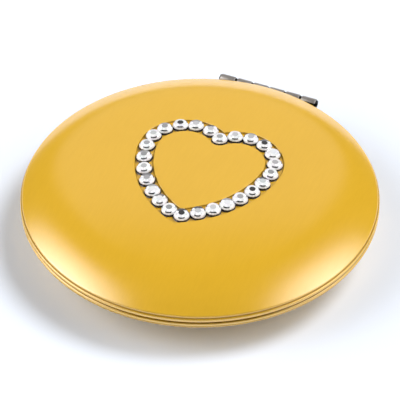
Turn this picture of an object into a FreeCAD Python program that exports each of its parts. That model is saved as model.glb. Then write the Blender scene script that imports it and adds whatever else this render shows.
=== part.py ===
import FreeCAD, Part
import math
import os

from FreeCAD import Placement, Rotation, Vector

# Round compact mirror: a domed lid and a dished base that close at a folded rim, with a barrel hinge at +Y.
# Millimetres. The origin is the centre of the base's flat foot, and the lid's dome faces +Z.

# Pressed shells
case_diameter = 70.0
lid_rise = 6.9
base_depth = 7.5
parting_gap = 0.25
shell_sheet = 0.5
rim_height = 0.5
rim_hem = 1.2
lid_rim_break = 0.12
base_rim_break = 0.38
edge_turn = 0.8
lid_edge_slope_deg = 33.9
base_edge_slope_deg = 37.0
lid_shoulder_radius = 24.0

# Heart channel in the lid, and the stones in it, spaced by hand from the notch through the -X lobe
lobe_radius = 7.4
lobe_side = 5.4
lobe_back = 5.9
flank_radius = 21.5
flank_start_deg = 185.0
heart_turn_deg = 2.25
channel_width = 3.7
channel_depth = 0.4
channel_lip_share = 0.6
stone_diameter = 2.95
stone_height = 1.25
stone_girdle = 0.3
stone_table_share = 0.5
stone_star_share = 0.77
stone_spin_deg = 37.0
stone_sides = 8
stone_spacing_shares = (0.98, 1.05, 0.97, 1.02, 0.95, 1.04, 1.08, 1.12, 1.07, 1.07, 0.95, 1.00, 0.98,
                        1.00, 0.96, 0.95, 0.95, 1.00, 1.00, 0.98, 0.98, 0.97, 0.97, 1.00, 0.98, 0.98)

# Trays, glass and bezels
tray_sheet = 0.45
tray_flange = 0.55
pan_clearance = 0.3
seat_fit = 0.05
glass_thickness = 1.3
glass_bevel = 0.2
hollow_radius = 600.0
pad_thickness = 0.4
pad_margin = 1.5
bezel_sheet = 0.4
bezel_lip = 0.9
bezel_lip_thickness = 0.45
bezel_proud = 0.15
bezel_chamfer = 0.1
bezel_slope = 0.35

# Hinge
knuckle_count = 6
knuckle_pitch = 3.45
knuckle_gap = 0.25
knuckle_chamfer = 0.1
barrel_diameter = 1.76
hinge_offset = 0.2
hinge_clearance = 0.25
pin_diameter = 0.8
pin_recess = 0.5
running_clearance = 0.03
press_clearance = 0.005
leaf_sheet = 0.4
leaf_margin = 0.6
leaf_inset = 0.7
leaf_corner = 0.8
rivet_count = 4
rivet_shank_diameter = 1.0
rivet_head_diameter = 1.6
rivet_head_depth = 0.3
rivet_tail = 0.35
rivet_edge = 0.2

# Closure and bumpers
closure_diameter = 3.0
closure_thickness = 1.0
closure_gap = 0.35
bumper_count = 2
bumper_diameter = 2.2
bumper_spread_deg = 70.0
bumper_clearance = 0.05

overrun = 2.0
touch = 0.001
up = Vector(0, 0, 1)
along_hinge = Vector(1, 0, 0)
towards_hinge = Vector(0, 1, 0)

case_radius = case_diameter / 2
rim_inner_radius = case_radius - rim_hem
hinge_y = case_radius + hinge_offset
hinge_length = knuckle_count * knuckle_pitch - knuckle_gap
knuckle_length = knuckle_pitch - knuckle_gap
barrel_radius = barrel_diameter / 2
pin_radius = pin_diameter / 2
hinge_drop = parting_gap / 2


def section_point(radius, height):
    """Point in the half plane that is turned about the case's axis."""
    return Vector(radius, 0, height)


def section_arc(centre, radius, start_deg, end_deg):
    """Arc in that half plane, with angles measured from the outward direction."""
    points = []
    for angle in (start_deg, (start_deg + end_deg) / 2, end_deg):
        turn = math.radians(angle)
        points.append(centre + section_point(radius * math.cos(turn), radius * math.sin(turn)))
    return Part.Arc(*points).toShape()


def straight(start, end):
    return Part.LineSegment(start, end).toShape()


def end_point(edge):
    return edge.valueAt(edge.LastParameter)


def turned(edges):
    """Solid of revolution about the case's axis from the edges of a closed section."""
    face = Part.Face(Part.Wire(edges))
    return face.revolve(Vector(), up, math.degrees(math.tau))


def turned_outline(points):
    corners = [section_point(*point) for point in points]
    return turned([straight(a, b) for a, b in zip(corners, corners[1:] + corners[:1])])


class Dome:
    """Dome over a rim: a crown, then a tighter shoulder, then a small turn down to the upright rim.

    A shell is worked out from its rim face at height 0 upwards. With no shoulder given, the shoulder
    is the one that leaves the crown flat, as on the base.
    """

    def __init__(self, rise, slope_deg, rim_break, shoulder=None):
        slope = math.radians(slope_deg)
        outward = section_point(math.sin(slope), math.cos(slope))
        self.rise = rise
        self.slope_deg = slope_deg
        self.rim_break = rim_break
        self.turn_centre = section_point(case_radius - edge_turn, rim_height)
        edge = self.turn_centre + outward * edge_turn
        self.shoulder = shoulder or (rise - edge.z) / (1 - math.cos(slope))
        self.shoulder_centre = edge - outward * self.shoulder
        spare = rise - edge.z - self.shoulder * (1 - math.cos(slope))
        self.tilt = 2 * math.atan2(spare, self.shoulder_centre.x) if shoulder else 0
        self.crown_radius = None
        if shoulder:
            self.crown_radius = shoulder + self.shoulder_centre.x / math.sin(self.tilt)

    def crown_centre(self):
        return section_point(0, self.rise - self.crown_radius)

    def edges(self, inset):
        """Edges from the axis out to the rim, moved into the sheet by the inset."""
        crown_end_deg = 90 - math.degrees(self.tilt)
        slope_end_deg = 90 - self.slope_deg
        if self.crown_radius:
            crown = section_arc(self.crown_centre(), self.crown_radius - inset, 90, crown_end_deg)
        else:
            height = self.rise - inset
            crown = straight(section_point(0, height), section_point(self.shoulder_centre.x, height))
        shoulder = section_arc(self.shoulder_centre, self.shoulder - inset, crown_end_deg, slope_end_deg)
        turn = section_arc(self.turn_centre, edge_turn - inset, slope_end_deg, 0)
        return [crown, shoulder, turn]

    def inner_radius_at(self, height):
        """Radius of the shoulder's inner face at a height above the rim face."""
        inner = self.shoulder - shell_sheet
        return self.shoulder_centre.x + math.sqrt(inner ** 2 - (height - self.shoulder_centre.z) ** 2)


lid_dome = Dome(lid_rise, lid_edge_slope_deg, lid_rim_break, lid_shoulder_radius)
base_dome = Dome(base_depth, base_edge_slope_deg, base_rim_break)

# Stack of one half, as heights from the rim face into the shell
tray_face = leaf_sheet
glass_face = tray_face - bezel_proud + bezel_lip_thickness
pad_face = glass_face + glass_thickness
pan_floor = pad_face + pad_thickness
pan_back = pan_floor + tray_sheet

# Radii of one half: the pan is as wide as both domes leave room for
tray_radius = rim_inner_radius - seat_fit
pan_outer_radius = min(dome.inner_radius_at(pan_back + pan_clearance) for dome in (lid_dome, base_dome))
pan_radius = pan_outer_radius - tray_sheet
bezel_radius = pan_radius - seat_fit
glass_radius = bezel_radius - bezel_sheet - seat_fit
ring_middle = (pan_outer_radius + tray_radius) / 2
leaf_front = pan_outer_radius + leaf_margin


def body_under(dome):
    """Solid under a dome's outer face, from the rim face up, with the rim's outer corner broken."""
    edges = dome.edges(0)
    corner_top = section_point(case_radius, dome.rim_break)
    corner_foot = section_point(case_radius - dome.rim_break, 0)
    edges.append(straight(end_point(edges[-1]), corner_top))
    edges.append(straight(corner_top, corner_foot))
    edges.append(straight(corner_foot, Vector()))
    edges.append(straight(Vector(), section_point(0, dome.rise)))
    return turned(edges)


def hollow_under(dome):
    """Space under a dome's inner face, as wide as the sheet folded back at the rim leaves it."""
    edges = dome.edges(shell_sheet)
    foot = section_point(case_radius - shell_sheet, 0)
    edges.append(straight(end_point(edges[-1]), foot))
    edges.append(straight(foot, Vector()))
    edges.append(straight(Vector(), section_point(0, dome.rise - shell_sheet)))
    return turned(edges).common(upright(rim_inner_radius, dome.rise, Vector()))


def along_x(radius, length):
    """Cylinder along the hinge axis, centred on the case's middle plane, in the frame of one half."""
    start = Vector(-length / 2, hinge_y, -hinge_drop)
    return Part.makeCylinder(radius, length, start, along_hinge)


def hinge_room():
    """What the hinge needs free in a rim: a round seat for the barrel and a slot for the leaf."""
    length = hinge_length + 2 * hinge_clearance
    barrel_seat = along_x(barrel_radius + hinge_clearance, length)
    height = leaf_sheet + hinge_clearance / 2
    slot = Part.makeBox(length, hinge_y - leaf_front, height + overrun,
                        Vector(-length / 2, leaf_front, -overrun))
    return barrel_seat.fuse(slot)


class Heart:
    """Heart path of four arcs: two lobes and two flanks, with its notch towards the hinge."""

    def __init__(self):
        self.lobe = Vector(-lobe_side, lobe_back, 0)
        self.start = math.radians(flank_start_deg)
        inward = Vector(-math.cos(self.start), -math.sin(self.start), 0)
        self.flank = self.lobe + inward * (flank_radius - lobe_radius)
        self.notch_angle = math.acos(lobe_side / lobe_radius)
        self.tip_angle = math.pi + math.acos(self.flank.x / flank_radius)
        self.lobe_length = (self.start - self.notch_angle) * lobe_radius
        self.length = 2 * (self.lobe_length + (self.tip_angle - self.start) * flank_radius)

    @staticmethod
    def on_circle(centre, radius, angle):
        return centre + Vector(radius * math.cos(angle), radius * math.sin(angle), 0)

    def point(self, distance):
        """Point at a distance along the path from the notch, through the -X lobe and the tip."""
        along = min(distance, self.length - distance)
        if along < self.lobe_length:
            place = self.on_circle(self.lobe, lobe_radius, self.notch_angle + along / lobe_radius)
        else:
            angle = self.start + (along - self.lobe_length) / flank_radius
            place = self.on_circle(self.flank, flank_radius, angle)
        return place if along == distance else Vector(-place.x, place.y, 0)

    def arc(self, centre, radius, start, end):
        points = [self.on_circle(centre, radius, angle) for angle in (start, (start + end) / 2, end)]
        return Part.Arc(*points).toShape()

    def face(self, offset):
        """Face inside the path moved outwards by the offset, or inwards if it is negative."""
        lobe_start = self.notch_angle
        flank_end = self.tip_angle
        if offset > 0:
            lobe_start = math.acos(lobe_side / (lobe_radius + offset))
            corner = self.on_circle(self.flank, flank_radius, flank_end)
            corner_start = flank_end
        else:
            flank_end = math.pi + math.acos(self.flank.x / (flank_radius + offset))
            corner = self.on_circle(self.lobe, lobe_radius, lobe_start)
            corner_start = lobe_start + math.pi
        left = [self.arc(self.lobe, lobe_radius + offset, lobe_start, self.start),
                self.arc(self.flank, flank_radius + offset, self.start, flank_end)]
        right = [edge.mirror(Vector(), along_hinge) for edge in left]
        rounded = self.arc(corner, abs(offset), corner_start, 3 * math.pi - corner_start)
        return Part.Face(Part.Wire(Part.__sortEdges__(left + right + [rounded])))

    def band(self, half_width):
        """Upright wall of the channel's plan, taller than the lid."""
        plan = self.face(half_width).cut(self.face(-half_width))
        plan.rotate(Vector(), up, heart_turn_deg)
        return plan.extrude(up * (lid_rise + overrun))


heart = Heart()


def crown_ball(inset, drop):
    """Ball whose top is the lid's crown, moved into the sheet by the inset and sunk by the drop."""
    return Part.makeSphere(lid_dome.crown_radius - inset, lid_dome.crown_centre() - up * drop)


def lies_on_crown(edge):
    """Whether an edge runs along the outside of the lid's crown."""
    span = edge.LastParameter - edge.FirstParameter
    for share in (0, 1 / 2, 1):
        reach = (edge.valueAt(edge.FirstParameter + share * span) - lid_dome.crown_centre()).Length
        if abs(reach - lid_dome.crown_radius) > touch:
            return False
    return True


def lid_shell():
    """Domed cover with the heart pressed into it: a channel with rounded lips, and the same step inside."""
    half_width = channel_width / 2
    channel = heart.band(half_width).cut(crown_ball(0, channel_depth))
    step = heart.band(half_width + shell_sheet).cut(crown_ball(shell_sheet, channel_depth))
    hollow = hollow_under(lid_dome).cut(step)
    shell = body_under(lid_dome).cut(hollow).cut(channel)
    walls = [face for face in shell.Faces if isinstance(face.Surface, Part.Cylinder)]
    lips = [edge for wall in walls for edge in wall.Edges if lies_on_crown(edge)]
    return shell.makeFillet(channel_lip_share * channel_depth, lips).cut(hinge_room())


def base_shell():
    """Dished cover with a flat foot, on the same rim."""
    return body_under(base_dome).cut(hollow_under(base_dome)).cut(hinge_room())


def crystal():
    """Flat-backed stone: a thin girdle, a brilliant crown of kites, stars and girdle facets, and a table."""
    girdle_radius = stone_diameter / 2
    table_radius = girdle_radius * stone_table_share
    star_radius = girdle_radius * stone_star_share
    half_step = math.pi / stone_sides
    crown_rise = stone_height - stone_girdle
    run = (girdle_radius - star_radius * math.cos(half_step)) / (girdle_radius - table_radius)
    star_height = stone_girdle + crown_rise * run

    def ring(radius, height, count, first):
        step = math.tau / count
        return [Vector(radius * math.cos(first + step * i), radius * math.sin(first + step * i), height)
                for i in range(count)]

    back = ring(girdle_radius, 0, 2 * stone_sides, 0)
    girdle = ring(girdle_radius, stone_girdle, 2 * stone_sides, 0)
    stars = ring(star_radius, star_height, stone_sides, half_step)
    table = ring(table_radius, stone_height, stone_sides, 0)
    facets = [back, table]
    for i in range(2 * stone_sides):
        facets.append([back[i], back[i - 1], girdle[i - 1], girdle[i]])
    for i in range(stone_sides):
        facets.append([girdle[2 * i], stars[i], table[i], stars[i - 1]])
        facets.append([table[i - 1], stars[i - 1], table[i]])
        facets.append([girdle[2 * i - 1], girdle[2 * i], stars[i - 1]])
        facets.append([girdle[2 * i - 2], girdle[2 * i - 1], stars[i - 1]])
    faces = [Part.Face(Part.makePolygon(points + points[:1])) for points in facets]
    shell = Part.makeShell(faces)
    shell.sewShape()
    solid = Part.makeSolid(shell)
    if solid.Volume < 0:
        solid.reverse()
    return solid


def heart_crystals():
    """Stones seated on the channel's floor, square to it, each turned a little further than the last."""
    centre = lid_dome.crown_centre() - up * channel_depth
    to_lid = Rotation(up, heart_turn_deg)
    stone = crystal()
    stones = []
    distance = 0
    for index, share in enumerate(stone_spacing_shares):
        plan = to_lid.multVec(heart.point(distance))
        height = math.sqrt(lid_dome.crown_radius ** 2 - plan.x ** 2 - plan.y ** 2)
        outward = plan + up * height
        turn = Rotation(up, outward).multiply(Rotation(up, index * stone_spin_deg))
        seated = stone.copy()
        seated.Placement = Placement(centre + outward, turn)
        stones.append(seated)
        distance += share * heart.length / sum(stone_spacing_shares)
    return Part.makeCompound(stones)


def rivet_places():
    """Rivet axes on the leaf, in a row along the hinge."""
    step = hinge_length / rivet_count
    row = leaf_front + rivet_edge + rivet_head_diameter / 2
    return [Vector((i - (rivet_count - 1) / 2) * step, row, 0) for i in range(rivet_count)]


def upright(radius, height, place):
    return Part.makeCylinder(radius, height, place, up)


def tray():
    """Pressed pan that closes a shell: a flat ring with a turned edge, and a round well for the glass."""
    outline = [(tray_radius, tray_face), (tray_radius, tray_face + tray_flange),
               (tray_radius - tray_sheet, tray_face + tray_flange),
               (tray_radius - tray_sheet, tray_face + tray_sheet),
               (pan_outer_radius, tray_face + tray_sheet), (pan_outer_radius, pan_back), (0, pan_back),
               (0, pan_floor), (pan_radius, pan_floor), (pan_radius, tray_face)]
    pan = turned_outline(outline)
    for place in rivet_places():
        pan = pan.cut(upright(rivet_shank_diameter / 2, pan_back, place))
    return pan.cut(upright(closure_diameter / 2 + seat_fit, pan_back, closure_place()))


def mirror_pad():
    """Foam disc, sticky on both faces, between the glass and the pan."""
    return upright(glass_radius - pad_margin, pad_thickness, Vector(0, 0, pad_face))


def mirror(hollow):
    """Round glass with seamed edges; a hollow one is ground to a shallow bowl on the side that is looked at."""
    glass = turned_outline([(0, glass_face), (glass_radius - glass_bevel, glass_face),
                            (glass_radius, glass_face + glass_bevel), (glass_radius, pad_face - glass_bevel),
                            (glass_radius - glass_bevel, pad_face), (0, pad_face)])
    if not hollow:
        return glass
    bowl_radius = glass_radius - bezel_lip
    to_centre = math.sqrt(hollow_radius ** 2 - bowl_radius ** 2)
    return glass.cut(Part.makeSphere(hollow_radius, Vector(0, 0, glass_face - to_centre)))


def bezel():
    """Pressed ring of angle section: its leg stands in the well, and its sloped lip laps over the glass."""
    leg_radius = bezel_radius - bezel_sheet
    lip_radius = glass_radius - bezel_lip
    top = tray_face - bezel_proud
    return turned_outline([(bezel_radius, pan_floor), (bezel_radius, top + bezel_chamfer),
                           (bezel_radius - bezel_chamfer, top), (lip_radius + bezel_slope, top),
                           (lip_radius, glass_face - bezel_chamfer), (lip_radius, glass_face),
                           (leg_radius, glass_face), (leg_radius, pan_floor)])


def knuckle(start):
    """Rolled tube of the barrel, with broken outer edges; its bore is cut with the leaf's."""
    blank = along_x(barrel_radius, knuckle_length)
    ends = [edge for edge in blank.Edges if edge.Closed]
    blank = blank.makeChamfer(knuckle_chamfer, ends)
    blank.translate(along_hinge * (start + knuckle_length / 2))
    return blank


def hinge_leaf(bore_clearance):
    """Steel leaf: a plate on the tray's ring, with a tab and a knuckle at every second place."""
    half = hinge_length / 2
    rear = hinge_y - barrel_radius - hinge_clearance
    outline = [(-half, leaf_front + leaf_corner), (-half + leaf_corner, leaf_front),
               (half - leaf_corner, leaf_front), (half, leaf_front + leaf_corner), (half, rear), (-half, rear)]
    corners = [Vector(x, y, 0) for x, y in outline]
    plate = Part.Face(Part.makePolygon(corners + corners[:1])).extrude(up * leaf_sheet)
    leaf = plate.common(upright(case_radius - leaf_inset, leaf_sheet, Vector()))
    for index in range(0, knuckle_count, 2):
        start = index * knuckle_pitch - half
        tab = Part.makeBox(knuckle_length, hinge_y - leaf_front - leaf_corner, leaf_sheet,
                           Vector(start, leaf_front + leaf_corner, 0))
        leaf = leaf.fuse(tab).fuse(knuckle(start))
    leaf = leaf.cut(along_x(pin_radius + bore_clearance, hinge_length + overrun))
    for place in rivet_places():
        leaf = leaf.cut(rivet(place))
    return leaf.removeSplitter()


def rivet(place):
    """Flush rivet: a sunk head in the leaf, a shank through the tray, and a tail spread behind it."""
    shank = rivet_shank_diameter / 2
    head = rivet_head_diameter / 2
    tray_back = tray_face + tray_sheet
    solid = turned_outline([(0, 0), (head, 0), (shank, rivet_head_depth), (shank, tray_back),
                            (head, tray_back), (head, tray_back + rivet_tail), (0, tray_back + rivet_tail)])
    solid.translate(place)
    return solid


def leaf_rivets():
    return Part.makeCompound([rivet(place) for place in rivet_places()])


def closure_place():
    """Foot of the closure disc's axis, on the ring at the front."""
    return Vector(0, -ring_middle, 0)


def closure_disc():
    """Disc set in the tray's ring at the front, proud of it so that the two halves pull together."""
    face = (closure_gap - parting_gap) / 2
    return upright(closure_diameter / 2, closure_thickness, closure_place() + up * face)


def hinge_pin():
    """Pin through all the knuckles, its ends sunk in the barrel."""
    return along_x(pin_radius, hinge_length - 2 * pin_recess)


def rim_bumpers():
    """Soft domed dots on the base's ring, just short of the lid's ring when it is closed."""
    reach = bumper_diameter / 2
    height = 2 * tray_face + parting_gap - bumper_clearance
    ball_radius = (reach ** 2 + height ** 2) / (2 * height)
    ball = Part.makeSphere(ball_radius, Vector(0, 0, tray_face - height + ball_radius))
    room = upright(reach, height, Vector(0, 0, tray_face - height))
    dots = []
    for index in range(bumper_count):
        dot = ball.common(room)
        dot.translate(towards_hinge * -ring_middle)
        dot.rotate(Vector(), up, (index / (bumper_count - 1) - 1 / 2) * bumper_spread_deg)
        dots.append(dot)
    return Part.makeCompound(dots)


def on_lid(shape):
    """Moves a piece from the frame of one half to the lid."""
    placed = shape.copy()
    placed.translate(up * (base_depth + parting_gap))
    return placed


def on_base(shape):
    """Turns a piece over about the hinge's side and moves it to the base."""
    placed = shape.copy()
    placed.rotate(Vector(), towards_hinge, 180)
    placed.translate(up * base_depth)
    return placed


def save(name, shape):
    shape.exportStep("parts/" + name + ".step")


os.makedirs("parts", exist_ok=True)

save("lid_shell", on_lid(lid_shell()))
save("heart_crystals", on_lid(heart_crystals()))
save("lid_tray", on_lid(tray()))
save("lid_mirror_pad", on_lid(mirror_pad()))
save("lid_mirror", on_lid(mirror(hollow=False)))
save("lid_bezel", on_lid(bezel()))
save("lid_hinge_leaf", on_lid(hinge_leaf(running_clearance)))
save("lid_leaf_rivets", on_lid(leaf_rivets()))
save("lid_striker", on_lid(closure_disc()))

save("base_shell", on_base(base_shell()))
save("base_tray", on_base(tray()))
save("base_mirror_pad", on_base(mirror_pad()))
save("base_mirror", on_base(mirror(hollow=True)))
save("base_bezel", on_base(bezel()))
save("base_hinge_leaf", on_base(hinge_leaf(press_clearance)))
save("base_leaf_rivets", on_base(leaf_rivets()))
save("hinge_pin", on_base(hinge_pin()))
save("base_magnet", on_base(closure_disc()))
save("rim_bumpers", on_base(rim_bumpers()))
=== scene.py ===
import math
import random

import bmesh
import bpy
from mathutils import Matrix, Vector


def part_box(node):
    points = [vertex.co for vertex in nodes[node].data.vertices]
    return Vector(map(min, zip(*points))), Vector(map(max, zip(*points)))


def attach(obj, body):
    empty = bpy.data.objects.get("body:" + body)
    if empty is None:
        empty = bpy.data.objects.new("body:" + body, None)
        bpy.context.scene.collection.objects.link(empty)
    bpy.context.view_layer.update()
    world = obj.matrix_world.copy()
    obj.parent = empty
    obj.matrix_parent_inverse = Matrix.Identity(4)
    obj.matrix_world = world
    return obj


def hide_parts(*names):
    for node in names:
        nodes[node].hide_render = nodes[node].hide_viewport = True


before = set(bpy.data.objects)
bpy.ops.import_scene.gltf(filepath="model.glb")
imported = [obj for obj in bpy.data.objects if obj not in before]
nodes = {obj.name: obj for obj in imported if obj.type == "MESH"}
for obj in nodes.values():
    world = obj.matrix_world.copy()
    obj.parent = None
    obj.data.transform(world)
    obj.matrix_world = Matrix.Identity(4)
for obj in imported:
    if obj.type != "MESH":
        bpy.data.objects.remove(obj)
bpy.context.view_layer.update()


# Lid shell: a domed cover pressed from thin brass sheet, brushed straight from front to hinge and coated
# in gold lacquer. Its edge is folded back to a small rounded lip under a crease, and a heart-shaped
# channel is pressed into the crown.

lid_low, lid_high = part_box("lid_shell")
case_radius = lid_high.x
lid_rim = lid_low.z
lid_rise = lid_high.z - lid_low.z
shell_sheet = 0.0005
edge_inset = 0.00046
edge_height = 0.00137
edge_turn = 0.0004
lip_height = 0.00075
lip_round = 0.00026
fold_width = 0.0012
rim_inner = case_radius - fold_width
lid_rim_round = 0.00025
lid_slope = math.radians(33.9)
lid_shoulder = 0.024
round_steps = 288
sharp_edge = math.radians(35)

lobe_radius = 0.0074
lobe_centre = Vector((-0.0054, 0.0059, 0))
flank_radius = 0.0215
flank_start = math.radians(185)
heart_turn = math.radians(2.25)
channel_depth = 0.0004
lip_reach = 0.00188
floor_reach = 0.00166
lip_loops = 7
field_cuts = 5
patch_radius = 0.023
upright = Vector((0, 0, 1))
weld = 1e-7


class Value:
    """An output of a material's nodes; an expression on it adds Math nodes."""

    def __init__(self, finish, socket):
        self.finish = finish
        self.socket = socket

    def maths(self, operation, first, second):
        return self.finish.add("ShaderNodeMath", {"operation": operation}, {0: first, 1: second})

    def __add__(self, other):
        return self.maths("ADD", self, other)

    def __sub__(self, other):
        return self.maths("SUBTRACT", self, other)

    def __rsub__(self, other):
        return self.maths("SUBTRACT", other, self)

    def __mul__(self, other):
        return self.maths("MULTIPLY", self, other)

    def __pow__(self, other):
        return self.maths("POWER", self, other)

    def __abs__(self):
        return self.finish.add("ShaderNodeMath", {"operation": "ABSOLUTE"}, {0: self})

    __radd__ = __add__
    __rmul__ = __mul__


class Finish:
    """A procedural surface finish: its node tree, and the shader or output that its nodes feed."""

    def __init__(self, tree, shader):
        self.tree = tree
        self.shader = shader

    @classmethod
    def of_surface(cls, name, sockets):
        material = bpy.data.materials.new(name)
        material.use_nodes = True
        finish = cls(material.node_tree, material.node_tree.nodes["Principled BSDF"])
        finish.material = material
        finish.place = finish.add("ShaderNodeTexCoord", {}, {}, "Object")
        finish.feed(finish.shader, sockets)
        return finish

    def add(self, kind, settings, inputs, output=0):
        node = self.tree.nodes.new(kind)
        for name, value in settings.items():
            setattr(node, name, value)
        self.feed(node, inputs)
        return Value(self, node.outputs[output])

    def feed(self, node, inputs):
        for key, value in inputs.items():
            if isinstance(value, Value):
                self.tree.links.new(node.inputs[key], value.socket)
            else:
                node.inputs[key].default_value = value

    def noise(self, size, detail, output="Fac"):
        """Cloudy noise whose patches measure about size along X, Y and Z."""
        scale = [1 / length for length in size]
        spot = self.add("ShaderNodeMapping", {}, {"Vector": self.place, "Scale": scale})
        inputs = {"Vector": spot, "Scale": 1.0, "Detail": detail}
        return self.add("ShaderNodeTexNoise", {}, inputs, output)

    def spread(self, value, low, high, out_low=0.0, out_high=1.0):
        """The value's range from low to high, eased and set to another range."""
        return self.add("ShaderNodeMapRange", {"interpolation_type": "SMOOTHSTEP"},
                        {0: value, 1: low, 2: high, 3: out_low, 4: out_high})

    def blend(self, share, first, second):
        return self.add("ShaderNodeMix", {"data_type": "RGBA"}, {0: share, 6: first, 7: second}, 2)

    def bump(self, height, depth):
        return self.add("ShaderNodeBump", {}, {"Height": height, "Distance": depth, "Strength": 1.0})

    def vector(self, operation, first, second=(0, 0, 0), output="Vector"):
        return self.add("ShaderNodeVectorMath", {"operation": operation}, {0: first, 1: second}, output)

    def distance(self, place, across):
        """Length of a place's part along the axes that are 1 in across."""
        return self.vector("LENGTH", self.vector("MULTIPLY", place, across), output="Value")


def carried_round(bm, vert, centre, angle, steps, axis=(0, 1, 0)):
    """Draws an arc from a vertex by spinning it about a centre, and gives the arc's last vertex."""
    drawn = bmesh.ops.spin(bm, geom=[vert], cent=centre, axis=axis, angle=angle, steps=steps)
    return drawn["geom_last"][0]


def carried_to(bm, vert, place):
    """Draws a straight line from a vertex to a place, and gives the line's last vertex."""
    drawn = bmesh.ops.extrude_vert_indiv(bm, verts=[vert])
    drawn["verts"][0].co = place
    return drawn["verts"][0]


def section(radius, height):
    return Vector((radius, 0, height))


class Dome:
    """Section of a shell over its rim face: crown, tighter shoulder, small turn, crease and rounded lip.

    A shell with no shoulder given has a flat crown, and one arc from it to the turn.
    """

    def __init__(self, rise, slope, rim_round, shoulder=None):
        outward = section(math.sin(slope), math.cos(slope))
        edge = section(case_radius - edge_inset, edge_height)
        self.rise = rise
        self.slope = slope
        self.rim_round = rim_round
        self.turn_centre = edge - outward * edge_turn
        self.shoulder = shoulder or (rise - edge.z) / (1 - math.cos(slope))
        self.shoulder_centre = edge - outward * self.shoulder
        self.tilt = 0
        self.crown_radius = None
        if shoulder:
            spare = rise - edge.z - self.shoulder * (1 - math.cos(slope))
            self.tilt = 2 * math.atan2(spare, self.shoulder_centre.x)
            self.crown_radius = shoulder + self.shoulder_centre.x / math.sin(self.tilt)
            self.crown_centre = section(0, rise - self.crown_radius)

    def crown_height(self, place):
        return math.sqrt(self.crown_radius ** 2 - place.x ** 2 - place.y ** 2) + self.crown_centre.z

    def draw(self, bm, start):
        """Draws the outside from a start on the crown to the rim, then the inside back to the axis."""
        lip_centre = section(case_radius - lip_round, lip_height - lip_round)
        corner = section(case_radius - self.rim_round, self.rim_round)
        inside = self.shoulder - shell_sheet
        lean = math.asin((rim_inner - self.shoulder_centre.x) / inside)
        fold_top = self.shoulder_centre + section(math.sin(lean), math.cos(lean)) * inside
        vert = bm.verts.new(start)
        if self.crown_radius:
            begun = math.asin(start.x / self.crown_radius)
            vert = carried_round(bm, vert, self.crown_centre, self.tilt - begun, steps=4)
        else:
            vert = carried_to(bm, vert, section(self.shoulder_centre.x, self.rise))
        vert = carried_round(bm, vert, self.shoulder_centre, self.slope - self.tilt, steps=28)
        vert = carried_round(bm, vert, self.turn_centre, math.pi / 2 - self.slope, steps=8)
        vert = carried_to(bm, vert, section(vert.co.x, lip_height))
        vert = carried_to(bm, vert, section(lip_centre.x, lip_height))
        vert = carried_round(bm, vert, lip_centre, math.pi / 2, steps=6)
        vert = carried_to(bm, vert, section(case_radius, self.rim_round))
        vert = carried_round(bm, vert, corner, math.pi / 2, steps=8)
        vert = carried_to(bm, vert, section(rim_inner, 0))
        vert = carried_to(bm, vert, fold_top)
        vert = carried_round(bm, vert, self.shoulder_centre, self.tilt - lean, steps=12)
        if self.crown_radius:
            carried_round(bm, vert, self.crown_centre, -self.tilt, steps=8)
        else:
            carried_to(bm, vert, section(0, self.rise - shell_sheet))


def turned(bm):
    """Turns the drawn section a quarter round the case's axis, and mirrors that to a whole turn."""
    quarter = round_steps // 4
    bmesh.ops.spin(bm, geom=bm.verts[:] + bm.edges[:], axis=upright, angle=math.pi / 2, steps=quarter)
    for axis in "XY":
        bmesh.ops.mirror(bm, geom=bm.verts[:] + bm.edges[:] + bm.faces[:], axis=axis, merge_dist=weld)
    bmesh.ops.remove_doubles(bm, verts=bm.verts[:], dist=weld)


def heart_loop(bm, offset):
    """Outline at an offset from the heart's middle line: arcs from the notch to the tip, mirrored."""
    flank_side = Vector((math.cos(flank_start), math.sin(flank_start), 0))
    flank_centre = lobe_centre + flank_side * (lobe_radius - flank_radius)
    notch_angle = math.acos(-lobe_centre.x / lobe_radius)
    tip_angle = math.pi + math.acos(flank_centre.x / flank_radius)
    lobe_start = notch_angle
    flank_end = tip_angle
    drawn = set(bm.verts)
    if offset > 0:
        lobe_reach = Vector((lobe_radius + offset, 0, 0))
        lobe_start = math.acos(-lobe_centre.x / lobe_reach.x)
        vert = bm.verts.new(lobe_centre + Matrix.Rotation(lobe_start, 3, "Z") @ lobe_reach)
    else:
        flank_end = math.pi + math.acos(flank_centre.x / (flank_radius + offset))
        notch = lobe_centre + Matrix.Rotation(notch_angle, 3, "Z") @ Vector((lobe_radius, 0, 0))
        vert = bm.verts.new(notch + Vector((0, offset, 0)))
        vert = carried_round(bm, vert, notch, notch_angle - math.pi / 2, steps=8, axis=upright)
    vert = carried_round(bm, vert, lobe_centre, flank_start - lobe_start, steps=40, axis=upright)
    vert = carried_round(bm, vert, flank_centre, flank_end - flank_start, steps=40, axis=upright)
    if offset > 0:
        tip = flank_centre + Matrix.Rotation(tip_angle, 3, "Z") @ Vector((flank_radius, 0, 0))
        carried_round(bm, vert, tip, 3 * math.pi / 2 - tip_angle, steps=8, axis=upright)
    half = [vert for vert in bm.verts if vert not in drawn]
    edges = list({edge for vert in half for edge in vert.link_edges})
    bmesh.ops.mirror(bm, geom=half + edges, axis="X", merge_dist=weld)
    loop = [vert for vert in bm.verts if vert not in drawn]
    bmesh.ops.rotate(bm, verts=loop, matrix=Matrix.Rotation(heart_turn, 3, "Z"))
    return list({edge for vert in loop for edge in vert.link_edges})


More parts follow.
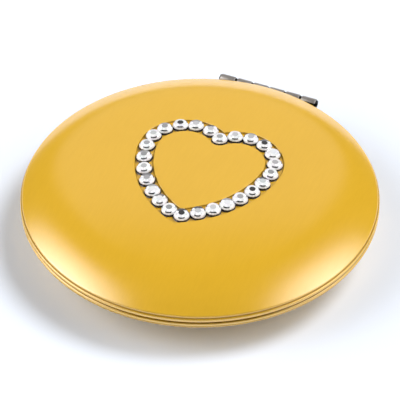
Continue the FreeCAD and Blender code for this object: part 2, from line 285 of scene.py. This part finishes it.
def pressed_crown(dome):
    """Middle of the crown: the field round the heart, the channel's lips and floor, the field inside.

    It is drawn flat and then lifted to the crown, and the channel is let down into it. How far down the
    channel's wall a vertex lies, from 0 at the lip to 1 at the floor, is kept in the layer "pressed".
    """
    bm = bmesh.new()
    pressed = bm.verts.layers.float.new("pressed")
    ring = bmesh.ops.create_circle(bm, segments=round_steps, radius=patch_radius)["verts"]
    ring_edges = list({edge for vert in ring for edge in vert.link_edges})
    rows = {1: [], -1: []}
    for side, row in rows.items():
        for index in range(lip_loops):
            share = index / (lip_loops - 1)
            loop = heart_loop(bm, side * (lip_reach + share * (floor_reach - lip_reach)))
            row.append(loop)
            for edge in loop:
                for vert in edge.verts:
                    vert[pressed] = share
    for row in rows.values():
        for outer, inner in zip(row, row[1:]):
            bmesh.ops.bridge_loops(bm, edges=outer + inner)
    bmesh.ops.triangle_fill(bm, edges=rows[1][-1] + rows[-1][-1], normal=upright, use_beauty=True)
    for edges in (ring_edges + rows[1][0], rows[-1][0]):
        filled = bmesh.ops.triangle_fill(bm, edges=edges, normal=upright, use_beauty=True)["geom"]
        inner = [item for item in filled if isinstance(item, bmesh.types.BMEdge) and item not in edges]
        bmesh.ops.subdivide_edges(bm, edges=inner, cuts=field_cuts, use_grid_fill=True)
    for vert in bm.verts:
        share = vert[pressed]
        vert.co.z = dome.crown_height(vert.co) - channel_depth * share ** 2 * (3 - 2 * share)
    mesh = bpy.data.meshes.new("pressed_crown")
    bm.to_mesh(mesh)
    bm.free()
    return mesh


def smooth_piece(name, bm):
    """Finishes a mesh: faces turned outwards, smooth but for its sharp edges, as a new object in the scene.
    """
    bmesh.ops.recalc_face_normals(bm, faces=bm.faces[:])
    mesh = bpy.data.meshes.new(name)
    bm.to_mesh(mesh)
    bm.free()
    mesh.shade_smooth()
    mesh.set_sharp_from_angle(angle=sharp_edge)
    piece = bpy.data.objects.new(name, mesh)
    bpy.context.scene.collection.objects.link(piece)
    return piece


pin_low, pin_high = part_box("hinge_pin")
hinge_y = pin_low.y / 2 + pin_high.y / 2
hinge_z = pin_low.z / 2 + pin_high.z / 2
leaf_low, leaf_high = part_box("lid_hinge_leaf")
hinge_half = -leaf_low.x
barrel_radius = leaf_high.y - hinge_y
hinge_clearance = 0.00025
leaf_room = 0.0004
leaf_slack = hinge_clearance / 2
slot_reach = 0.002


def block(bm, size, middle):
    """Adds a plain block of a size round a middle."""
    place = Matrix.Translation(middle) @ Matrix.Diagonal(size.to_4d())
    bmesh.ops.create_cube(bm, size=1, matrix=place)


def cut_hinge_room(piece, slot_low, slot_high):
    """Cuts the barrel's round seat and the leaf's slot out of a rim."""
    half = hinge_half + hinge_clearance
    seat_radius = barrel_radius + hinge_clearance
    along_pin = Matrix.Translation((0, hinge_y, hinge_z)) @ Matrix.Rotation(math.pi / 2, 4, "Y")
    bm = bmesh.new()
    bmesh.ops.create_cone(bm, cap_ends=True, segments=64, radius1=seat_radius, radius2=seat_radius,
                          depth=2 * half, matrix=along_pin)
    seat = smooth_piece("seat_cutter", bm)
    bm = bmesh.new()
    block(bm, Vector((2 * half, hinge_y - leaf_low.y, slot_high - slot_low)),
          Vector((0, (hinge_y + leaf_low.y) / 2, (slot_low + slot_high) / 2)))
    slot = smooth_piece("slot_cutter", bm)
    for cutter in (seat, slot):
        cut = piece.modifiers.new(cutter.name, "BOOLEAN")
        cut.object = cutter
        cut.operation = "DIFFERENCE"
        cut.solver = "EXACT"
    evaluated = piece.evaluated_get(bpy.context.evaluated_depsgraph_get())
    done = bpy.data.meshes.new_from_object(evaluated)
    piece.modifiers.clear()
    old = piece.data
    piece.data = done
    done.name = piece.name
    bpy.data.meshes.remove(old)
    for cutter in (seat, slot):
        bpy.data.meshes.remove(cutter.data)
    done.shade_smooth()
    done.set_sharp_from_angle(angle=sharp_edge)


lid_dome = Dome(lid_rise, lid_slope, lid_rim_round, lid_shoulder)
bm = bmesh.new()
bm.verts.layers.float.new("pressed")
lid_dome.draw(bm, section(patch_radius, lid_dome.crown_height(section(patch_radius, 0))))
turned(bm)
crown = pressed_crown(lid_dome)
bm.from_mesh(crown)
bpy.data.meshes.remove(crown)
bmesh.ops.remove_doubles(bm, verts=bm.verts[:], dist=weld)
bmesh.ops.translate(bm, verts=bm.verts[:], vec=upright * lid_rim)
lid_shell = smooth_piece("lid_cover", bm)
cut_hinge_room(lid_shell, lid_rim - slot_reach, lid_rim + leaf_room + leaf_slack)

gold_tone = (0.845, 0.482, 0.0205, 1)
gold_deep = (0.81, 0.461, 0.019, 1)
# The next colour is painted shade mixed with grime, for the heart channel, the crease above the lip and the
# parting line.
gold_grime_and_shade = (0.22, 0.10, 0.006, 1)
grain_size = (0.00028, 0.0040, 0.0008)
grain_depth = 0.000014
cloud_size = (0.012, 0.02, 0.012)
rim_wear = (case_radius - 0.00045, case_radius - 0.0003)
# Widths and height of the painted shade along the parting line and in the crease above the lip.
parting_fade = (0.00014, 0.00030)
crease_fade = (0.00008, 0.00023)
crease_rise = 0.00016
crease_level = lid_rim - hinge_z + lip_height + crease_rise


def satin_gold(name):
    """Brushed brass in gold lacquer: fine straight grain, faint clouding, a rim polished by wear, and
    painted shade mixed with grime on the heart channel's walls and floor, in the crease above the lip and
    along the parting line.
    """
    finish = Finish.of_surface(name, {
        "Specular IOR Level": 0.0, "Coat Roughness": 0.19, "Coat IOR": 2.6})
    grain = finish.noise(grain_size, 3.0)
    cloud = finish.noise(cloud_size, 2.0)
    rim = finish.spread(finish.distance(finish.place, (1, 1, 0)), *rim_wear)
    pressed = finish.add("ShaderNodeAttribute", {"attribute_name": "pressed"}, {}, "Fac")
    height = finish.add("ShaderNodeSeparateXYZ", {}, {0: finish.place}, "Z")
    # Painted shade: dark lines along the parting line and in the crease above the lip, where the folded
    # rims lie in shade.
    from_parting = abs(height - hinge_z)
    parting_shade = finish.spread(from_parting, *parting_fade, 0.7, 0.0) * rim
    crease = finish.spread(abs(from_parting - crease_level), *crease_fade, 0.68, 0.0) * rim
    # Painted shade on the channel's walls, and a little over its floor, mixed with grime; it also thins the
    # coat there.
    wall = pressed * (1 - pressed) * 4
    grime_and_shade = wall * wall * wall * 0.45 + pressed * 0.08 + parting_shade + crease
    tone = finish.blend(finish.spread(grain * 0.7 + cloud * 0.3, 0.35, 0.65), gold_deep, gold_tone)
    finish.feed(finish.shader, {
        "Base Color": finish.blend(grime_and_shade, tone, gold_grime_and_shade),
        "Metallic": 0.13 + 0.17 * rim,
        "Roughness": (0.33 + grain * 0.06) * (1 - rim) + 0.28 * rim,
        "Coat Weight": (0.75 + grain * 0.2) * (1 - grime_and_shade),
        "Normal": finish.bump(grain * (1 - rim), grain_depth),
    })
    return finish.material


gold_lacquer = satin_gold("satin_gold_lacquer")
lid_shell.data.materials.append(gold_lacquer)
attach(lid_shell, "lid")
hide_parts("lid_shell")


# Base shell: the lower cover, pressed from the same sheet to a shallow dish with a flat foot in the middle.
# It has the lid's folded rim, brushed grain and lacquer, with a softer corner where the rims meet.

base_low, base_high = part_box("base_shell")
base_slope = math.radians(37)
base_rim_round = 0.00038
base_dome = Dome(base_high.z - base_low.z, base_slope, base_rim_round)
bm = bmesh.new()
base_dome.draw(bm, section(0, base_dome.rise))
turned(bm)
bmesh.ops.rotate(bm, verts=bm.verts[:], matrix=Matrix.Rotation(math.pi, 3, "Y"))
bmesh.ops.translate(bm, verts=bm.verts[:], vec=upright * base_high.z)
base_shell = smooth_piece("base_cover", bm)
cut_hinge_room(base_shell, base_high.z - leaf_room - leaf_slack, base_high.z + slot_reach)
base_shell.data.materials.append(gold_lacquer)
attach(base_shell, "base")
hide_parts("base_shell")


# Stones: flat-backed cut glass with a silvered back, glued in a row along the heart's channel.
# Each facet carries a painted brightness that stands in for the light and reflections seen through the
# glass: a grey table, painted dark reflections as a stroke on three sides, some rear facets painted darker
# as shade, and a dark girdle and glue ring painted as the shadow at the stone's foot. The facets also glow
# faintly, a painted glow.

draws = random.Random(7)
stone_sides = 8
stone_spread = 1.035
# Rings of corners from the seat to the table: sides, reach and rise as shares of the stone's radius and
# height, and 1 where the ring is turned by half a side.
stone_rings = (
    (16, 1.02, 0.0, 0),
    (16, 1.02, 0.42, 0),
    (16, 0.985, 0.54, 1),
    (16, 0.93, 0.72, 1),
    (16, 0.8, 0.88, 0),
    (8, 0.42, 1.0, 1),
)
glue_reach = 1.13
glue_rise = 0.1
flat_facet = math.radians(1)

girdle_share = 0.42
# The girdle, and the glue ring below it, are painted dark as the shadow at the stone's foot.
girdle_painted_shadow = 0.02
table_lean = 0.99
table_shades = (0.05, 0.35, 0.42, 0.48, 0.54, 0.6, 0.66, 0.9)
table_polish = 0.4
# The strokes are painted dark reflections, turned to face the front; some stones' rear facets are painted
# darker as shade.
stroke_from = 0.7
stroke_to = 0.85
stroke_turn = math.radians(20)
stroke_count = 3
stroke_edge = 0.1
stroke_shades = (0.0, 0.1)
between_strokes = 0.85
rear_edge = -0.6
rear_shades = (0.08, 0.2, 0.35, 0.8)
facet_shades = (0.7, 1.0)
facet_polish = 0.12


def islands(bm):
    """The separate pieces of a mesh, each as a list of its vertices."""
    seen = set()
    for first in bm.verts:
        if first in seen:
            continue
        seen.add(first)
        piece = [first]
        for vert in piece:
            for edge in vert.link_edges:
                other = edge.other_vert(vert)
                if other not in seen:
                    seen.add(other)
                    piece.append(other)
        yield piece


def middle_of(verts):
    return sum((vert.co for vert in verts), Vector()) / len(verts)


def cut_stone(bm, radius, height):
    """One stone on the origin: the hull over its rings of corners, and the glue round its foot."""
    corners = []
    for sides, reach, rise, half_turn in stone_rings:
        twist = Matrix.Rotation(math.pi / sides * half_turn, 4, "Z")
        ring = bmesh.ops.create_circle(bm, segments=sides, radius=radius * reach,
                                       matrix=Matrix.Translation(upright * height * rise) @ twist)
        corners += ring["verts"]
    bmesh.ops.convex_hull(bm, input=corners)
    # The glue ring is painted dark with the girdle, as the shadow round the stone's foot.
    glue_middle = Matrix.Translation(upright * height * glue_rise / 2)
    glue = bmesh.ops.create_cone(bm, cap_ends=True, segments=16, radius1=radius * glue_reach,
                                 radius2=radius, depth=height * glue_rise, matrix=glue_middle)
    return corners + glue["verts"]


def facet_look(level, lean, around, table, rear):
    """Painted brightness of a facet, standing in for the light and reflections seen through it, and how far
    the facet itself mirrors.
    """
    bright = draws.uniform(*facet_shades)
    if level < girdle_share:
        return girdle_painted_shadow, 0.0
    if lean > table_lean:
        return table, table_polish
    if stroke_from < level < stroke_to:
        if math.cos(stroke_count * (around - stroke_turn)) > stroke_edge:
            return draws.uniform(*stroke_shades), facet_polish
        return between_strokes, facet_polish
    if level > stroke_to and math.cos(around - stroke_turn) < rear_edge:
        return rear, facet_polish
    return bright, facet_polish


crystals = bmesh.new()
crystals.from_mesh(nodes["heart_crystals"].data)
bmesh.ops.remove_doubles(crystals, verts=crystals.verts[:], dist=weld)
bm = bmesh.new()
# Face layers: the facet's painted brightness, standing in for light and reflections, and how far the facet
# mirrors.
painted_light = bm.faces.layers.float.new("facet_painted_light")
mirror = bm.faces.layers.float.new("facet_mirror")
for crystal in islands(crystals):
    crystal.sort(key=lambda vert: vert.co.z)
    seat = middle_of(crystal[:2 * stone_sides])
    rise = middle_of(crystal[-stone_sides:]) - seat
    radius = (crystal[0].co - seat).length * stone_spread
    old_faces = set(bm.faces)
    stone = cut_stone(bm, radius, rise.length)
    fresh = [face for face in bm.faces if face not in old_faces]
    bmesh.ops.recalc_face_normals(bm, faces=fresh)
    spin = Matrix.Rotation(draws.uniform(0, 1), 3, "Z")
    table = draws.choice(table_shades)
    rear = draws.choice(rear_shades)
    for face in fresh:
        level = face.calc_center_median().z / rise.length
        outward = spin @ face.normal
        around = math.atan2(outward.x, -outward.y)
        face[painted_light], face[mirror] = facet_look(level, face.normal.z, around, table, rear)
    lean = upright.rotation_difference(rise).to_matrix() @ spin
    bmesh.ops.transform(bm, matrix=Matrix.Translation(seat) @ lean.to_4x4(), verts=stone)
crystals.free()
bmesh.ops.dissolve_limit(bm, angle_limit=flat_facet, verts=bm.verts[:], edges=bm.edges[:])
mesh = bpy.data.meshes.new("heart_stones")
bm.to_mesh(mesh)
bm.free()
stones = bpy.data.objects.new("heart_stones", mesh)
bpy.context.scene.collection.objects.link(stones)

silver_pale = (0.97, 0.97, 0.98, 1)
painted_facet_dark = (0.01, 0.01, 0.012, 1)
tint_size = (0.0012, 0.0012, 0.0012)
polish_size = (0.0004, 0.0004, 0.0004)
# The painted facet brightness feeds the base colour and also a faint emission, a painted glow.
foil_glass = Finish.of_surface("foil_backed_glass", {
    "Coat Roughness": 0.02, "Coat IOR": 1.55, "Emission Strength": 0.2})
facet = foil_glass.add("ShaderNodeAttribute", {"attribute_name": "facet_painted_light"}, {}, "Fac")
polish = foil_glass.add("ShaderNodeAttribute", {"attribute_name": "facet_mirror"}, {}, "Fac")
tint = foil_glass.noise(tint_size, 1.0, "Color")
painted_facet_colour = foil_glass.blend(facet, painted_facet_dark, foil_glass.blend(0.13, silver_pale, tint))
foil_glass.feed(foil_glass.shader, {
    "Base Color": painted_facet_colour,
    "Emission Color": painted_facet_colour,
    "Metallic": polish,
    "Coat Weight": 0.1 + 0.6 * facet,
    "Roughness": 0.08 + 0.06 * foil_glass.noise(polish_size, 2.0),
})
stones.data.materials.append(foil_glass.material)
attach(stones, "lid")
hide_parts("heart_crystals")


# Trays and bezels: pans pressed from brass that close each shell and hold the glass, and the thin angle
# rings that trap it. Both are polished and gold plated.

plate_deep = (0.78, 0.47, 0.06, 1)
plate_pale = (0.86, 0.55, 0.1, 1)
haze_size = (0.006, 0.006, 0.006)
bright_gold = Finish.of_surface("polished_gold_plate", {
    "Metallic": 1.0, "Coat Weight": 0.2, "Coat Roughness": 0.05})
haze = bright_gold.noise(haze_size, 3.0)
bright_gold.feed(bright_gold.shader, {
    "Base Color": bright_gold.blend(haze, plate_deep, plate_pale),
    "Roughness": 0.14 + 0.1 * haze,
})
for name in ("lid_tray", "base_tray", "lid_bezel", "base_bezel"):
    nodes[name].data.materials[0] = bright_gold.material


# Mirrors: round silvered glass, flat in the lid and ground slightly hollow in the base, stuck down on foam
# discs. The silver shows almost clean, with the faint haze that handling leaves.

silver_hazy = (0.90, 0.93, 0.92, 1)
silver_clean = (0.94, 0.95, 0.945, 1)
smear_size = (0.009, 0.004, 0.009)
silvering = Finish.of_surface("silvered_glass", {
    "Metallic": 1.0, "Coat Weight": 1.0, "Coat Roughness": 0.0})
smear = silvering.noise(smear_size, 4.0)
silvering.feed(silvering.shader, {
    "Base Color": silvering.blend(smear, silver_hazy, silver_clean),
    "Roughness": silvering.spread(smear, 0.45, 0.8, 0.005, 0.03),
})
for name in ("lid_mirror", "base_mirror"):
    nodes[name].data.materials[0] = silvering.material

foam_grey = (0.55, 0.55, 0.53, 1)
foam_pale = (0.75, 0.75, 0.72, 1)
cell_size = (0.0004, 0.0004, 0.0004)
cell_depth = 0.00005
foam = Finish.of_surface("closed_cell_foam", {"Specular IOR Level": 0.3})
cells = foam.noise(cell_size, 3.0)
foam.feed(foam.shader, {
    "Base Color": foam.blend(cells, foam_grey, foam_pale),
    "Roughness": 0.8 + 0.15 * cells,
    "Normal": foam.bump(cells, cell_depth),
})
for name in ("lid_mirror_pad", "base_mirror_pad"):
    nodes[name].data.materials[0] = foam.material


# Hinge: two stamped steel leaves whose edges are rolled into three knuckles each, on one steel pin, with
# flush rivets through each tray. The steel is bare and keeps its rolling marks, and each roll leaves an
# open seam. Everything below the barrel's outer face, such as the knuckles' ends and the gaps and seams
# between them, is painted near black as shade.

knuckle_count = 6
knuckle_pitch = (2 * hinge_half + hinge_clearance) / knuckle_count
knuckle_gap = 0.00042
knuckle_inset = (knuckle_gap - hinge_clearance) / 2
knuckle_round = 0.00022
collar_gap = 0.00008
barrel_skin = 0.0001
bore_radius = 0.00043
leaf_sheet = 0.00034
tab_share = 0.98
plate_sink = 0.00004
leaf_corner = 0.0008
leaf_inset = 0.0007
seam_low = math.radians(8)
seam_high = math.radians(42)


def rolled_knuckle(bm, start, end, seam_from, seam_to):
    """Sheet rolled round the pin from one side of an open seam to the other, its ends slightly rounded."""
    centre = Vector((0, hinge_y, hinge_z))
    outer = barrel_radius + barrel_skin
    collar = start - (knuckle_gap - collar_gap) / 2
    wall = [(collar, bore_radius), (collar, outer - knuckle_round), (start, outer - knuckle_round)]
    for turn in (math.pi / 6, math.pi / 3, math.pi / 2):
        along = start + knuckle_round * (1 - math.cos(turn))
        wall.append((along, outer - knuckle_round * (1 - math.sin(turn))))
    outline = wall + [(start + end - along, reach) for along, reach in reversed(wall)]
    towards = Vector((0, -math.cos(seam_to), math.sin(seam_to)))
    corners = [bm.verts.new(centre + towards * reach + section(along, 0)) for along, reach in outline]
    face = bm.faces.new(corners)
    axis = (math.copysign(1, seam_from - seam_to), 0, 0)
    turn = 2 * math.pi - abs(seam_to - seam_from)
    bmesh.ops.spin(bm, geom=[face], cent=centre, axis=axis, angle=turn, steps=40)


def rolled_leaf(name, body, plate_low, first_knuckle, seam_side):
    """One leaf: its plate on the tray's ring, and a tab that runs into each of its three knuckles."""
    bm = bmesh.new()
    front = leaf_low.y
    rear = hinge_y - barrel_radius - hinge_clearance
    reach = case_radius - leaf_inset
    bow = math.acos(rear / reach)
    vert = bm.verts.new(Vector((0, front, 0)))
    vert = carried_to(bm, vert, Vector((hinge_half - leaf_corner, front, 0)))
    vert = carried_to(bm, vert, Vector((hinge_half, front + leaf_corner, 0)))
    vert = carried_to(bm, vert, Vector((hinge_half, math.sqrt(reach ** 2 - hinge_half ** 2), 0)))
    vert = carried_round(bm, vert, Vector(), math.asin(hinge_half / reach) - bow, steps=8, axis=upright)
    carried_to(bm, vert, Vector((0, rear, 0)))
    bmesh.ops.mirror(bm, geom=bm.verts[:] + bm.edges[:], axis="X", merge_dist=weld)
    bmesh.ops.remove_doubles(bm, verts=bm.verts[:], dist=weld)
    plate = bmesh.ops.contextual_create(bm, geom=bm.edges[:])["faces"]
    raised = bmesh.ops.extrude_face_region(bm, geom=plate)["geom"]
    lifted = [item for item in raised if isinstance(item, bmesh.types.BMVert)]
    bmesh.ops.translate(bm, verts=lifted, vec=upright * leaf_sheet)
    bmesh.ops.translate(bm, verts=bm.verts[:], vec=upright * plate_low)
    tab_front = front + leaf_corner
    tab_rear = hinge_y - (bore_radius + barrel_radius) / 2
    for index in range(first_knuckle, knuckle_count, 2):
        start = -hinge_half + index * knuckle_pitch
        end = start + knuckle_pitch - hinge_clearance
        if index > 0:
            start += knuckle_inset
        if index < knuckle_count - 1:
            end -= knuckle_inset
        block(bm, Vector((end - start, tab_rear - tab_front, leaf_sheet * tab_share)),
              Vector(((start + end) / 2, (tab_rear + tab_front) / 2, plate_low + leaf_sheet / 2)))
        rolled_knuckle(bm, start, end, -seam_side * seam_low, seam_side * seam_high)
    leaf = smooth_piece(name, bm)
    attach(leaf, body)
    return leaf


lid_leaf = rolled_leaf("lid_leaf", "lid", lid_rim + plate_sink, 0, -1)
base_leaf = rolled_leaf("base_leaf", "base", base_high.z - leaf_sheet - plate_sink, 1, 1)
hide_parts("lid_hinge_leaf")
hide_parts("base_hinge_leaf")

steel_dark = (0.34, 0.31, 0.29, 1)
steel_pale = (0.56, 0.52, 0.49, 1)
# The next colour is painted shade for the hinge's gaps, knuckle ends and seams.
gap_painted_shade = (0.008, 0.007, 0.006, 1)
roll_size = (0.004, 0.00012, 0.00012)
roll_depth = 0.00002
blotch_size = (0.002, 0.002, 0.002)
gap_fade = (barrel_radius - 0.0001, barrel_radius - 0.00002)
steel = Finish.of_surface("bare_hinge_steel", {"Metallic": 0.7})
rolled = steel.noise(roll_size, 3.0)
blotch = steel.noise(blotch_size, 2.0)
from_pin = steel.vector("SUBTRACT", steel.place, (0, hinge_y, hinge_z))
# Painted shade: below the barrel's outer face the steel turns near black, for the gaps, ends and seams.
unshaded_outside = steel.spread(steel.distance(from_pin, (0, 1, 1)), *gap_fade)
bare = steel.blend(rolled * 0.6 + blotch * 0.4, steel_dark, steel_pale)
steel.feed(steel.shader, {
    "Base Color": steel.blend(unshaded_outside, gap_painted_shade, bare),
    "Roughness": 0.6 - unshaded_outside * (0.34 - 0.16 * rolled),
    "Normal": steel.bump(rolled, roll_depth),
})
for leaf in (lid_leaf, base_leaf):
    leaf.data.materials.append(steel.material)

rivet_dark = (0.50, 0.48, 0.46, 1)
rivet_pale = (0.74, 0.72, 0.69, 1)
dint_size = (0.0008, 0.0008, 0.0008)
dint_depth = 0.00003
peened = Finish.of_surface("peened_rivet_steel", {"Metallic": 0.9})
dints = peened.noise(dint_size, 1.0)
peened.feed(peened.shader, {
    "Base Color": peened.blend(dints, rivet_dark, rivet_pale),
    "Roughness": 0.2 + 0.15 * dints,
    "Normal": peened.bump(dints, dint_depth),
})
for name in ("lid_leaf_rivets", "base_leaf_rivets"):
    nodes[name].data.materials[0] = peened.material

oil_dark = (0.03, 0.026, 0.022, 1)
oil_thin = (0.09, 0.08, 0.07, 1)
film_size = (0.001, 0.0004, 0.0004)
oiled = Finish.of_surface("oiled_pin_steel", {"Metallic": 1.0})
film = oiled.noise(film_size, 3.0)
oiled.feed(oiled.shader, {
    "Base Color": oiled.blend(film, oil_dark, oil_thin),
    "Roughness": 0.3 + 0.2 * film,
})
nodes["hinge_pin"].data.materials[0] = oiled.material


# Closure: a nickel-plated magnet let into the base's ring, and a nickel-plated steel striker let into the
# lid's ring above it. They hold the case shut with no catch on the outside.

nickel_dull = (0.60, 0.57, 0.53, 1)
nickel_bright = (0.72, 0.69, 0.64, 1)
scuff_size = (0.0006, 0.0006, 0.0006)
nickel = Finish.of_surface("nickel_plate", {"Metallic": 1.0})
scuff = nickel.noise(scuff_size, 4.0)
nickel.feed(nickel.shader, {
    "Base Color": nickel.blend(scuff, nickel_dull, nickel_bright),
    "Roughness": 0.12 + 0.2 * scuff,
})
for name in ("lid_striker", "base_magnet"):
    nodes[name].data.materials[0] = nickel.material


# Bumpers: two small dots of clear silicone, moulded and stuck on the base's ring. They stop the lid from
# clicking on the base.

silicone_dusty = (0.80, 0.80, 0.77, 1)
silicone_clean = (0.9, 0.9, 0.88, 1)
dust_size = (0.0003, 0.0003, 0.0003)
silicone = Finish.of_surface("clear_silicone", {"IOR": 1.41, "Subsurface Weight": 0.3})
dust = silicone.noise(dust_size, 3.0)
silicone.feed(silicone.shader, {
    "Base Color": silicone.blend(dust, silicone_dusty, silicone_clean),
    "Roughness": 0.3 + 0.15 * dust,
})
nodes["rim_bumpers"].data.materials[0] = silicone.material


# Studio: a pale floor in a dim room with a low white horizon. A round soft light glows on each side of the
# camera's line of sight, fainter ones stand behind the object and in front of it, and a lamp behind it on
# the right casts its shadow.

camera_azimuth = 22.81
camera_elevation = 42.05
behind = camera_azimuth + 180

floor_half = 3.0
floor_tone = (0.75, 0.80, 0.89, 1)
floor_lift = 0.05
dim_room = 0.06
glow_fall = 1.5
white = (1, 1, 1, 1)

bm = bmesh.new()
bmesh.ops.create_grid(bm, x_segments=1, y_segments=1, size=floor_half)
floor = smooth_piece("floor", bm)
floor_paint = bpy.data.materials.new("pale_floor")
floor_paint.use_nodes = True
tree = floor_paint.node_tree
tree.nodes.clear()
paint = Finish(tree, tree.nodes.new("ShaderNodeOutputMaterial"))


def seen_rays(finish):
    """1 for rays that show the background: straight to the camera, in metal, or through glass."""
    rays = finish.tree.nodes.new("ShaderNodeLightPath").outputs
    mirrored = Value(finish, rays["Is Glossy Ray"]) + Value(finish, rays["Is Transmission Ray"])
    return Value(finish, rays["Is Camera Ray"]) + mirrored


matt = paint.add("ShaderNodeBsdfDiffuse", {}, {"Color": floor_tone})
lift = paint.add("ShaderNodeEmission", {}, {"Color": white, "Strength": seen_rays(paint) * floor_lift})
paint.feed(paint.shader, {"Surface": paint.add("ShaderNodeAddShader", {}, {0: matt, 1: lift})})
floor.data.materials.append(floor_paint)

world = bpy.data.worlds.new("studio")
world.use_nodes = True
bpy.context.scene.world = world
tree = world.node_tree
tree.nodes.clear()
room = Finish(tree, tree.nodes.new("ShaderNodeOutputWorld"))
outlook = room.add("ShaderNodeTexCoord", {}, {}, "Generated")


def cosine(degrees):
    return math.cos(math.radians(degrees))


def sine(degrees):
    return math.sin(math.radians(degrees))


def heading_to(azimuth, elevation):
    """Direction from the object, with azimuth 0 in front of it and 90 on its right, in degrees."""
    level = cosine(elevation)
    return Vector((sine(azimuth) * level, -cosine(azimuth) * level, sine(elevation)))


def nearness(azimuth, elevation):
    """Cosine of the angle between the outlook and a heading."""
    return room.vector("DOT_PRODUCT", outlook, heading_to(azimuth, elevation), "Value")


def soft_light(azimuth, elevation, inner, outer):
    """Round patch of the room, 1 within the inner angle from its middle and 0 past the outer."""
    return room.spread(nearness(azimuth, elevation), cosine(outer), cosine(inner))


def glow(azimuth, elevation, reach):
    """Round patch of the room that falls off from 1 at its middle to nothing at its reach."""
    share = room.add("ShaderNodeMapRange", {}, {
        0: nearness(azimuth, elevation), 1: cosine(reach), 2: 1.0})
    return share ** glow_fall


rear_light = 0.30 * soft_light(behind, elevation=29.7, inner=19.5, outer=26.6)
front_light = 0.24 * soft_light(camera_azimuth, elevation=24, inner=14, outer=30)
left_light = 4.8 * glow(behind + 90, elevation=31, reach=38.5)
right_light = 3.3 * glow(behind - 94, elevation=38, reach=34)
studio = dim_room + rear_light + front_light + left_light + right_light
height = room.add("ShaderNodeSeparateXYZ", {}, {0: outlook}, "Z")
horizon = seen_rays(room) * room.spread(height, sine(0.6), sine(2.6), 1.0, 0.0)
brighter = studio.maths("MAXIMUM", studio, horizon)
backdrop = room.add("ShaderNodeBackground", {}, {"Color": white, "Strength": brighter})
room.feed(room.shader, {"Surface": backdrop})

key = bpy.data.lights.new("key_lamp", "SUN")
key.energy = 2.05
key.angle = math.radians(28)
key_lamp = bpy.data.objects.new("key_lamp", key)
key_lamp.rotation_euler = heading_to(behind - 66, elevation=54).to_track_quat("Z", "Y").to_euler()
key_lamp.visible_glossy = False
bpy.context.scene.collection.objects.link(key_lamp)

camera_distance = 1.0
sensor_millimetres = 36
focal_pixels = 5132
photo_pixels = 400
aim = Vector((0, 0, hinge_z))
eye = bpy.data.cameras.new("camera")
eye.sensor_width = sensor_millimetres
eye.lens = sensor_millimetres * focal_pixels / photo_pixels
camera = bpy.data.objects.new("camera", eye)
sight = heading_to(camera_azimuth, camera_elevation)
camera.location = aim + sight * camera_distance
camera.rotation_euler = sight.to_track_quat("Z", "Y").to_euler()
bpy.context.scene.collection.objects.link(camera)
bpy.context.scene.camera = camera
bpy.context.scene.view_settings.view_transform = "Standard"
